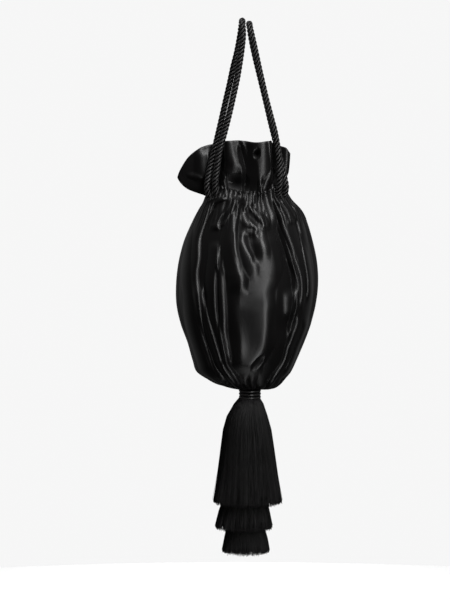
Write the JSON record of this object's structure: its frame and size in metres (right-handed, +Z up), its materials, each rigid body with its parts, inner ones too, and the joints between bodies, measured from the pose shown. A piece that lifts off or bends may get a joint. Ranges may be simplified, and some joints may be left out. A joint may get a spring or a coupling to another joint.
{
  "type": "drawstring pouch bag with tassel",
  "caption": "Gathered satin drawstring pouch with a frilled mouth, twisted rope pull loops over the top and a tiered thread tassel tied under its foot.",
  "frame": {"origin": "the point between the two rope loops, under their arch, where a hand or a peg carries the bag", "axes": "+Z up along the hanging bag, -Y out of its front, +X to the right seen from the front"},
  "size_m": [0.1448, 0.1162, 0.5378],
  "materials": {
    "satin": "black silk satin with soft grey highlights along its folds",
    "rope": "black twisted rayon rope with a dull sheen",
    "tassel_thread": "black matt thread, combed straight"
  },
  "bodies": {
    "root": {"satin_pouch": "satin", "rope_loop_left": "rope", "rope_loop_right": "rope", "foot_binding": "rope", "tassel_tier_top": "tassel_thread", "tassel_tier_middle": "tassel_thread", "tassel_tier_bottom": "tassel_thread"}
  },
  "joints": []
}
